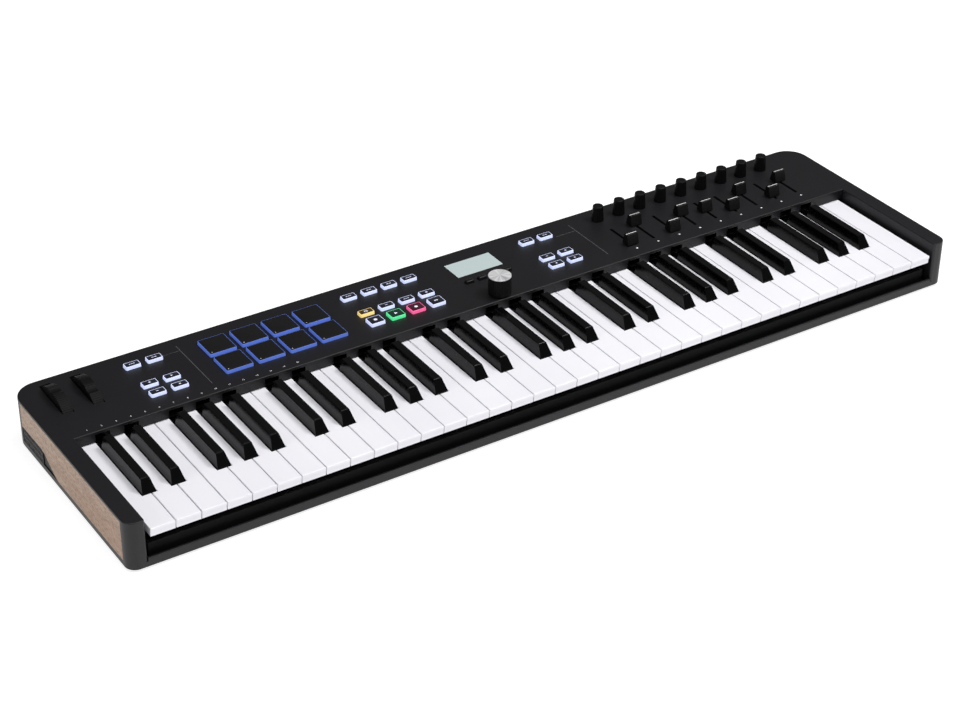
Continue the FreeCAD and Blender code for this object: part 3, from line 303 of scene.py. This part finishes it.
def laminate_finish(name):
    """Black solder mask over glass cloth, with the weave just showing."""
    finish = Finish(name, 0.35)
    weave = finish.wave(700.0, direction="DIAGONAL", detail=1.0)
    finish.paint(finish.ramp(weave, [(0.3, colour(11, 13, 12)), (0.8, colour(19, 22, 20))]))
    finish.bump(weave, 0.00003, 0.4)
    return finish


def display_finish(name):
    """A reflective liquid-crystal display with a faint painted glow: pale grey-green with its grid of dots
    just visible.
    """
    # Painted glow: a small constant emission brightens the display, which has no lamp of its own.
    finish = Finish(name, 0.3, Specular_IOR_Level=0.3, Emission_Strength=0.08)
    finish.shader.inputs["Emission Color"].default_value = colour(196, 214, 212)
    columns = finish.wave(420.0, direction="X", detail=0.0)
    rows = finish.wave(420.0, direction="Y", detail=0.0)
    dots = finish.node("Math")
    dots.operation = "MULTIPLY"
    finish.join(columns, dots.inputs[0])
    finish.join(rows, dots.inputs[1])
    finish.paint(
        finish.ramp(dots.outputs["Value"], [(0.0, colour(176, 189, 189)), (1.0, colour(190, 203, 202))])
    )
    finish.roughen(finish.noise(30.0), 0.25, 0.35)
    return finish


# Mesh helpers. Sizes are in millimetres until a piece is made.


def rounded(centre, width, depth, radius, steps=5):
    """A rounded rectangle's outline, anticlockwise, as (x, y) points."""
    points = []
    for corner, (side_x, side_y) in enumerate(((1, 1), (-1, 1), (-1, -1), (1, -1))):
        middle_x = centre[0] + side_x * (width / 2 - radius)
        middle_y = centre[1] + side_y * (depth / 2 - radius)
        for step in range(steps + 1):
            angle = math.radians(90 * (corner + step / steps))
            points.append((middle_x + radius * math.cos(angle), middle_y + radius * math.sin(angle)))
    return points


def disc(centre, radius, steps=28):
    """A circle's outline."""
    turns = [math.tau * step / steps for step in range(steps)]
    return [(centre[0] + radius * math.cos(turn), centre[1] + radius * math.sin(turn)) for turn in turns]


def bar(start, end, width):
    """The outline of a straight stroke between two points."""
    along = (Vector(end) - Vector(start)).normalized() * (width / 2)
    side = Vector((-along.y, along.x))
    corners = (Vector(start) - side, Vector(end) - side, Vector(end) + side, Vector(start) + side)
    return [tuple(corner) for corner in corners]


class Shape:
    """Closed solids collected into one mesh."""

    def __init__(self):
        self.points = []
        self.faces = []

    def loft(self, rings):
        """A closed solid through rings of (outline, height); every outline has as many points."""
        first = len(self.points)
        count = len(rings[0][0])
        for outline, height in rings:
            self.points += [(x, y, height) for x, y in outline]
        for ring in range(len(rings) - 1):
            low = first + ring * count
            for step in range(count):
                after = (step + 1) % count
                self.faces.append((low + step, low + after, low + count + after, low + count + step))
        self.faces.append(tuple(first + step for step in reversed(range(count))))
        last = first + (len(rings) - 1) * count
        self.faces.append(tuple(last + step for step in range(count)))

    def slab(self, outline, low, high):
        """A flat solid with straight sides."""
        self.loft([(outline, low), (outline, high)])

    def mesh(self, other):
        """Adds another mesh's faces, which are already in millimetres."""
        first = len(self.points)
        self.points += [tuple(vertex.co) for vertex in other.vertices]
        self.faces += [tuple(first + index for index in polygon.vertices) for polygon in other.polygons]

    def piece(self, name, finish, body, slot, smooth=35.0):
        """The collected solids as one piece that rides on a body."""
        mesh = bpy.data.meshes.new(name)
        mesh.from_pydata([tuple(value * MM for value in point) for point in self.points], [], self.faces)
        mesh.update()
        mesh.polygons.foreach_set("use_smooth", [True] * len(mesh.polygons))
        mesh.set_sharp_from_angle(angle=math.radians(smooth))
        mesh.materials.append(finish.material)
        piece = bpy.data.objects.new(name, mesh)
        bpy.context.scene.collection.objects.link(piece)
        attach(piece, body)
        return piece


def box_mm(node):
    """A node's lowest and highest corners in millimetres."""
    low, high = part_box(node)
    return low / MM, high / MM


def solids_of(node):
    """The boxes of a node's separate solids in millimetres, front row first and left to right."""
    shape = bmesh.new()
    shape.from_mesh(frame["nodes"][node].data)
    bmesh.ops.remove_doubles(shape, verts=shape.verts, dist=1e-6)
    boxes = []
    waiting = set(shape.verts)
    while waiting:
        spread = [waiting.pop()]
        found = []
        while spread:
            vertex = spread.pop()
            found.append(vertex.co.copy())
            for edge in vertex.link_edges:
                other = edge.other_vert(vertex)
                if other in waiting:
                    waiting.remove(other)
                    spread.append(other)
        low = Vector(min(co[axis] for co in found) for axis in range(3)) / MM
        high = Vector(max(co[axis] for co in found) for axis in range(3)) / MM
        boxes.append((low, high))
    shape.free()
    return sorted(boxes, key=lambda ends: (round(ends[0].y), ends[0].x))


# Every CAD node's finish

KNOB_CENTRE = sum(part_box("encoder_cap"), Vector()) / 2
WHEEL_RIDGES = 110
WHEEL_AXLE = next(joint["pos_m"] for joint in frame["joints"] if joint["name"] == "pitch_wheel_turn")

FINISHES = {
    "case_plastic": case_finish("case_plastic"),
    "cheek_wood": wood_finish("cheek_wood"),
    "insert_plastic": moulded(
        "insert_plastic", colour(12, 12, 14), 0.5, grain=700.0, Specular_IOR_Level=0.3
    ),
    "foot_rubber": moulded("foot_rubber", colour(22, 22, 22), 0.8, grain=500.0),
    "screw_steel": metal_finish("screw_steel", colour(70, 70, 74), 0.35),
    "chassis_plastic": moulded("chassis_plastic", colour(9, 9, 10), 0.7, Specular_IOR_Level=0.2),
    "spring_steel": metal_finish("spring_steel", colour(150, 150, 156), 0.3),
    "board_laminate": laminate_finish("board_laminate"),
    "dome_rubber": moulded("dome_rubber", colour(120, 122, 126), 0.7),
    "fader_steel": metal_finish("fader_steel", colour(150, 152, 155), 0.35),
    "encoder_metal": metal_finish("encoder_metal", colour(160, 160, 162), 0.35),
    "display_module": moulded("display_module", colour(40, 44, 46), 0.5),
    "display_window": display_finish("display_window"),
    "socket_plastic": moulded("socket_plastic", colour(14, 14, 15), 0.4),
    "wheel_rubber": wheel_finish("wheel_rubber"),
    "shaft_brass": metal_finish("shaft_brass", colour(176, 146, 84), 0.3),
    "knob_plastic": moulded("knob_plastic", colour(7, 7, 8), 0.5, grain=1300.0, Specular_IOR_Level=0.2),
    "cap_aluminium": spun_finish("cap_aluminium", KNOB_CENTRE),
    "white_key_plastic": white_key_finish("white_key_plastic"),
    "black_key_plastic": black_key_finish("black_key_plastic"),
    "button_plastic": lit_finish("button_plastic", colour(208, 214, 234), colour(198, 210, 255), 0.62),
    "menu_button_plastic": moulded("menu_button_plastic", colour(10, 10, 12), 0.42, Specular_IOR_Level=0.4),
    "pad_rubber": lit_finish("pad_rubber", colour(90, 112, 180), colour(78, 112, 216), 0.42),
    "fader_cap_plastic": moulded(
        "fader_cap_plastic", colour(9, 9, 10), 0.42, grain=1200.0, Specular_IOR_Level=0.3
    ),
}

# Finishes that only the pieces made here have
YELLOW_GLOW = lit_finish("button_yellow", colour(236, 214, 150), colour(255, 214, 120), 0.5)
GREEN_GLOW = lit_finish("button_green", colour(110, 226, 164), colour(60, 236, 140), 0.5)
PINK_GLOW = lit_finish("button_pink", colour(240, 120, 170), colour(255, 70, 140), 0.5)
INSET = moulded("button_inset", colour(18, 20, 32), 0.3, grain=1500.0, Coat_Weight=0.3, Coat_Roughness=0.2)
INSET_YELLOW = moulded("button_inset_yellow", colour(58, 46, 20), 0.3, grain=1500.0)
INSET_GREEN = moulded("button_inset_green", colour(14, 46, 34), 0.3, grain=1500.0)
INSET_PINK = moulded("button_inset_pink", colour(64, 18, 40), 0.3, grain=1500.0)
# Painted shade: the flange and lower stem of every cap, the same milky plastic, painted dark grey as if in
# shade under the panel.
CAP_FOOT_PAINTED_SHADE = moulded("cap_foot_painted_shade", colour(38, 38, 42), 0.5)
PAD_TOP = moulded("pad_top", colour(10, 9, 10), 0.5, grain=800.0, relief=0.00008, Specular_IOR_Level=0.3)
PRINT = moulded("panel_print", colour(238, 238, 240), 0.5, grain=1500.0, relief=0.00001)
LINE_PRINT = moulded("panel_line_print", colour(96, 96, 99), 0.5, grain=1500.0, relief=0.00001)
LEGEND = lit_finish("button_legend", colour(226, 226, 244), colour(220, 220, 255), 0.35)
FADER_LINE = moulded("fader_line", colour(226, 226, 224), 0.4, grain=1500.0, relief=0.00001)


def dress_nodes():
    """Gives every CAD node the finish of its material slot."""
    for node in frame["nodes"].values():
        for place in node.material_slots:
            place.material = FINISHES[place.material.name.split(".")[0]].material


# Buttons and pads

# A flange under the panel, this wide and this thick, keeps each cap in its opening
FLANGE = 1.0
FLANGE_RISE = 1.5
# How far the lit part of a cap reaches down from its crest; below it the cap's frame is painted dark grey
# as shade
LIT_DEPTH = 3.2
CAP_EDGE = 0.35
BUTTON_CORNER = 1.2
BUTTON_RIM = 0.75
PAD_CORNER = 1.5
PAD_RIM = 0.75
# A menu button's crown: how far each ring lies inside the flange, and below the crest
MENU_CROWN = ((1.0, 1.0), (1.12, 0.45), (1.4, 0.15), (1.9, 0.02), (2.3, 0.0))
# Heights of a legend's lower and upper faces over the crest of its button
LEGEND_LOW = 0.02
LEGEND_HIGH = 0.1


def cap_body(cap, frame_part, low, high, corner, rim, recess=0.35, draft=0.25):
    """A translucent cap with a rounded edge, a rim and a recess, on its flanged frame in the panel."""
    centre = ((low.x + high.x) / 2, (low.y + high.y) / 2)
    width = high.x - low.x
    depth = high.y - low.y
    stem_width = width - 2 * FLANGE
    stem_depth = depth - 2 * FLANGE
    flange_top = low.z + FLANGE_RISE
    foot = high.z - LIT_DEPTH

    def ring(inward, height):
        radius = max(0.3, corner - inward * 0.6)
        return rounded(centre, stem_width - 2 * inward, stem_depth - 2 * inward, radius), height

    flange = rounded(centre, width, depth, corner)
    frame_part.loft([(flange, low.z), (flange, flange_top), ring(0.0, flange_top), ring(0.0, foot)])
    cap.loft([
        ring(0.0, foot),
        ring(draft, high.z - CAP_EDGE),
        ring(draft + CAP_EDGE * 0.3, high.z - CAP_EDGE * 0.3),
        ring(draft + CAP_EDGE, high.z),
        ring(rim, high.z),
        ring(rim + 0.05, high.z - recess),
    ])
    return centre, stem_width - 2 * rim - 0.3, stem_depth - 2 * rim - 0.3


def cap_inset(shape, centre, width, depth, base, height, corner):
    """The opaque plate that lies in a cap's recess, crowned a little at its edges."""
    edge = min(0.25, height / 2)
    shape.loft([
        (rounded(centre, width, depth, corner), base),
        (rounded(centre, width, depth, corner), base + height - edge),
        (rounded(centre, width - edge * 0.6, depth - edge * 0.6, corner), base + height - edge * 0.3),
        (rounded(centre, width - edge * 2, depth - edge * 2, corner - edge * 0.5), base + height),
    ])


def mark_square(x, y):
    return [rounded((x, y), 3.0, 3.0, 0.3, 3)]


def mark_play(x, y):
    return [[(x - 1.3, y - 1.7), (x + 1.9, y), (x - 1.3, y + 1.7)]]


def mark_dot(x, y):
    return [disc((x, y), 1.6)]


def mark_arrow_left(x, y):
    return [[(x + 0.9, y - 1.1), (x + 0.9, y + 1.1), (x - 1.1, y)]]


def mark_arrow_right(x, y):
    return [[(x - 0.9, y - 1.1), (x + 1.1, y), (x - 0.9, y + 1.1)]]


def mark_bars(x, y):
    """Three short strokes of the same length, side by side."""
    return [bar((x - 3.0 + 2.1 * step, y), (x - 3.0 + 2.1 * step + 1.5, y), 0.75) for step in range(3)]


def mark_two_bars(x, y):
    return [bar((x - 2.4, y), (x - 0.5, y), 0.8), bar((x + 0.3, y), (x + 2.4, y), 0.8)]


def mark_plus(x, y):
    return [bar((x - 1.2, y), (x + 1.2, y), 0.6), bar((x, y + 0.35), (x, y + 1.2), 0.6),
            bar((x, y - 1.2), (x, y - 0.35), 0.6)]


def mark_minus(x, y):
    return [bar((x - 1.2, y), (x + 1.2, y), 0.6)]


def mark_loop(x, y):
    """A loop of four strokes, open at two opposite corners."""
    width = 0.55
    return [
        bar((x - 1.7, y + 1.0), (x + 1.2, y + 1.0), width),
        bar((x - 1.2, y - 1.0), (x + 1.7, y - 1.0), width),
        bar((x + 1.5, y + 1.0), (x + 1.5, y - 0.5), width),
        bar((x - 1.5, y - 1.0), (x - 1.5, y + 0.5), width),
    ]


def mark_forward(x, y):
    return mark_arrow_right(x - 0.9, y) + mark_arrow_right(x + 1.1, y)


LEFT_MARKS = [mark_minus, mark_arrow_left, mark_plus, mark_arrow_right, mark_bars, mark_two_bars]
RIGHT_MARKS = [mark_arrow_left, mark_arrow_right, mark_minus, mark_plus, mark_bars, mark_two_bars]
DAW_MARKS = [
    mark_loop, mark_minus, mark_bars, mark_plus, mark_bars, mark_two_bars, mark_two_bars, mark_bars
]
TRANSPORT_MARKS = [mark_square, mark_play, mark_dot, mark_forward]


def button_finishes(group, number):
    """The glow and the inset of one button; the transport row has its usual colours."""
    coloured = {
        ("transport_buttons", 1): (GREEN_GLOW, INSET_GREEN),
        ("transport_buttons", 2): (PINK_GLOW, INSET_PINK),
        ("daw_buttons", 0): (YELLOW_GLOW, INSET_YELLOW),
    }
    return coloured.get((group, number), (FINISHES["button_plastic"], INSET))


def lit_buttons(group, marks):
    """Every button of a lit group: a milky cap, a black inset and a small mark."""
    legends = Shape()
    frames = Shape()
    by_colour = {}
    for number, (low, high) in enumerate(solids_of(group)):
        finishes = button_finishes(group, number)
        caps, insets = by_colour.setdefault(finishes, (Shape(), Shape()))
        centre, width, depth = cap_body(caps, frames, low, high, BUTTON_CORNER, BUTTON_RIM)
        cap_inset(insets, centre, width, depth, high.z - 0.33, 0.4, 0.8)
        for outline in marks[number](centre[0], centre[1]):
            legends.slab(outline, high.z + LEGEND_LOW, high.z + LEGEND_HIGH)
    for number, ((glow, plate), (caps, insets)) in enumerate(by_colour.items(), start=1):
        caps.piece(f"{group}_caps_{number}", glow, group, "button_plastic")
        insets.piece(f"{group}_insets_{number}", plate, group, "button_plastic")
    legends.piece(f"{group}_marks", LEGEND, group, "button_plastic")
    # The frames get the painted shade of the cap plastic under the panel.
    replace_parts(frames.piece(f"{group}_frames", CAP_FOOT_PAINTED_SHADE, group, "button_plastic"), group)


def menu_buttons():
    """The four plain black keys under the display, softly crowned."""
    shape = Shape()
    for low, high in solids_of("menu_buttons"):
        centre = ((low.x + high.x) / 2, (low.y + high.y) / 2)
        width = high.x - low.x
        depth = high.y - low.y
        flange = rounded(centre, width, depth, 1.0)
        flange_top = low.z + FLANGE_RISE
        rings = [(flange, low.z), (flange, flange_top)]
        levels = [(FLANGE, flange_top)] + [(inward, high.z - drop) for inward, drop in MENU_CROWN]
        for inward, height in levels:
            rings.append((rounded(centre, width - 2 * inward, depth - 2 * inward, 0.7), height))
        shape.loft(rings)
    piece = shape.piece("menu_button_keys", FINISHES["menu_button_plastic"], "menu_buttons",
                        "menu_button_plastic", smooth=50.0)
    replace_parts(piece, "menu_buttons")


def pads(row):
    """One row of pads: a blue-lit tray with a black rubber top and a dot in its near left corner."""
    frames = Shape()
    trays = Shape()
    tops = Shape()
    marks = Shape()
    for low, high in solids_of(row):
        centre, width, depth = cap_body(
            trays, frames, low, high, PAD_CORNER, PAD_RIM, recess=0.5, draft=0.35)
        cap_inset(tops, centre, width, depth, high.z - 0.48, 0.62, 1.0)
        corner = (centre[0] - width / 2 + 2.2, centre[1] - depth / 2 + 2.2)
        marks.slab(disc(corner, 0.45, 12), high.z + 0.14, high.z + 0.18)
    trays.piece(f"{row}_trays", FINISHES["pad_rubber"], row, "pad_rubber")
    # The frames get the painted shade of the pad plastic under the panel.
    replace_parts(frames.piece(f"{row}_frames", CAP_FOOT_PAINTED_SHADE, row, "pad_rubber"), row)
    tops.piece(f"{row}_tops", PAD_TOP, row, "pad_rubber")
    marks.piece(f"{row}_marks", PRINT, row, "pad_rubber")


# Prints on the panel

PRINT_HEIGHT = 0.05
NUMERAL_SIZE = 2.6
NUMERAL_ROW = 23.2
NUMERAL_START = 9.7
CHANNELS = 16
FADERS = 9
FADER_DOT_ROW = 31.0
FADER_DOT_RADIUS = 0.95
RULE_WIDTH = 0.45
BRANCH_WIDTH = 0.35
BRANCH_GAP = 0.3
# Each rule's distance from the buttons on its left, its two ends, its branch's length and its place
RULES = {
    "left_buttons": (18.1, 33.6, 106.6, 18.0, 98.0),
    "right_buttons": (25.5, 36.0, 105.0, 23.6, 91.7),
}
PANEL_LEVEL = box_mm("top_case")[1].z


def line_between(shape, start, end, width):
    shape.slab(bar(start, end, width), PANEL_LEVEL, PANEL_LEVEL + PRINT_HEIGHT)


def panel_lines():
    """Thin rules that divide the panel into sections, each with a short branch."""
    shape = Shape()
    for group, (beyond, front, back, branch, branch_place) in RULES.items():
        rule = box_mm(group)[1].x + beyond
        line_between(shape, (rule, front), (rule, back), RULE_WIDTH)
        line_between(shape, (rule - branch, branch_place), (rule - BRANCH_GAP, branch_place), BRANCH_WIDTH)
    shape.piece("panel_rules", LINE_PRINT, "case", "case_plastic")


def fader_dots():
    """One dot in front of every fader."""
    shape = Shape()
    for number in range(FADERS):
        low, high = box_mm(f"fader_cap_{number + 1}")
        dot = disc(((low.x + high.x) / 2, FADER_DOT_ROW), FADER_DOT_RADIUS, 20)
        shape.slab(dot, PANEL_LEVEL, PANEL_LEVEL + PRINT_HEIGHT)
    shape.piece("fader_dots", PRINT, "case", "case_plastic")


def channel_numerals():
    """Numbers 1 to 16 along the front edge of the panel, one above each semitone."""
    keys_low, keys_high = box_mm("keys_c")
    semitone = (keys_high.x - keys_low.x) / 36 * 7 / 12
    texts = []
    for channel in range(CHANNELS):
        curve = bpy.data.curves.new("numeral", "FONT")
        curve.body = str(channel + 1)
        curve.size = NUMERAL_SIZE
        curve.align_x = "CENTER"
        curve.extrude = PRINT_HEIGHT / 2
        curve.resolution_u = 3
        text = bpy.data.objects.new("numeral", curve)
        bpy.context.scene.collection.objects.link(text)
        texts.append(text)
    drawn = bpy.context.evaluated_depsgraph_get()
    shape = Shape()
    for channel, text in enumerate(texts):
        mesh = bpy.data.meshes.new_from_object(text.evaluated_get(drawn))
        across = keys_low.x + NUMERAL_START + semitone * channel
        for vertex in mesh.vertices:
            vertex.co += Vector((across, NUMERAL_ROW, PANEL_LEVEL + PRINT_HEIGHT / 2))
        shape.mesh(mesh)
        bpy.data.meshes.remove(mesh)
    for text in texts:
        curve = text.data
        bpy.data.objects.remove(text)
        bpy.data.curves.remove(curve)
    shape.piece("channel_numerals", PRINT, "case", "case_plastic")


def fader_lines():
    """The pale line across the crest of every fader cap."""
    for number in range(FADERS):
        low, high = box_mm(f"fader_cap_{number + 1}")
        middle = (low.y + high.y) / 2
        shape = Shape()
        shape.slab(rounded(((low.x + high.x) / 2, middle), high.x - low.x - 0.6, 0.8, 0.2, 3),
                   high.z - 0.3, high.z + 0.1)
        shape.piece(f"fader_line_{number + 1}", FADER_LINE, f"fader_cap_{number + 1}", "fader_cap_plastic")


# Stage, lights and camera


def stage():
    """A pale floor, far larger than the object."""
    shape = bmesh.new()
    bmesh.ops.create_grid(shape, x_segments=8, y_segments=8, size=12.0)
    mesh = bpy.data.meshes.new("studio_floor")
    shape.to_mesh(mesh)
    shape.free()
    finish = Finish("studio_floor", 0.9, Specular_IOR_Level=0.1, Emission_Strength=0.8)
    finish.shader.inputs["Emission Color"].default_value = (1.0, 1.0, 1.0, 1.0)
    slow = finish.noise(0.6)
    finish.paint(finish.ramp(slow, [(0.0, colour(168, 168, 169)), (1.0, colour(173, 173, 174))]))
    mesh.materials.append(finish.material)
    floor = bpy.data.objects.new("studio_floor", mesh)
    floor.location.z = -0.0002
    bpy.context.scene.collection.objects.link(floor)


def softbox(name, place, aim, width, depth, power):
    """A rectangular soft light that looks at a point."""
    light = bpy.data.lights.new(name, "AREA")
    light.shape = "RECTANGLE"
    light.size = width
    light.size_y = depth
    light.energy = power
    lamp = bpy.data.objects.new(name, light)
    lamp.location = place
    lamp.rotation_euler = (Vector(aim) - Vector(place)).to_track_quat("-Z", "Y").to_euler()
    bpy.context.scene.collection.objects.link(lamp)


def studio_lights():
    world = bpy.data.worlds.new("studio_world")
    world.use_nodes = True
    background = world.node_tree.nodes["Background"]
    background.inputs["Color"].default_value = (1.0, 1.0, 1.0, 1.0)
    background.inputs["Strength"].default_value = 0.14
    bpy.context.scene.world = world
    softbox("overhead_softbox", (0.1, -0.75, 2.2), (0.0, -0.1, 0.0), 3.2, 2.2, 50.0)
    softbox("key_softbox", (1.15, -0.5, 2.1), (0.1, 0.0, 0.0), 0.7, 0.7, 23.0)
    softbox("left_softbox", (-2.1, -0.3, 0.6), (-0.4, 0.0, 0.03), 1.0, 0.8, 7.0)
    bpy.context.scene.view_settings.view_transform = "Standard"
    bpy.context.scene.view_settings.look = "None"


def camera():
    data = bpy.data.cameras.new("camera")
    data.sensor_width = CAMERA_SENSOR
    data.lens = CAMERA_LENS
    data.clip_end = 50.0
    view = bpy.data.objects.new("camera", data)
    view.location = CAMERA_PLACE
    aimed = (CAMERA_AIM - CAMERA_PLACE).to_track_quat("-Z", "Y")
    view.rotation_euler = (aimed @ Quaternion((0, 0, 1), CAMERA_ROLL)).to_euler()
    bpy.context.scene.collection.objects.link(view)
    bpy.context.scene.camera = view


dress_nodes()
lit_buttons("left_buttons", LEFT_MARKS)
lit_buttons("right_buttons", RIGHT_MARKS)
lit_buttons("daw_buttons", DAW_MARKS)
lit_buttons("transport_buttons", TRANSPORT_MARKS)
menu_buttons()
pads("lower_pads")
pads("upper_pads")
panel_lines()
fader_dots()
channel_numerals()
fader_lines()
stage()
studio_lights()
camera()
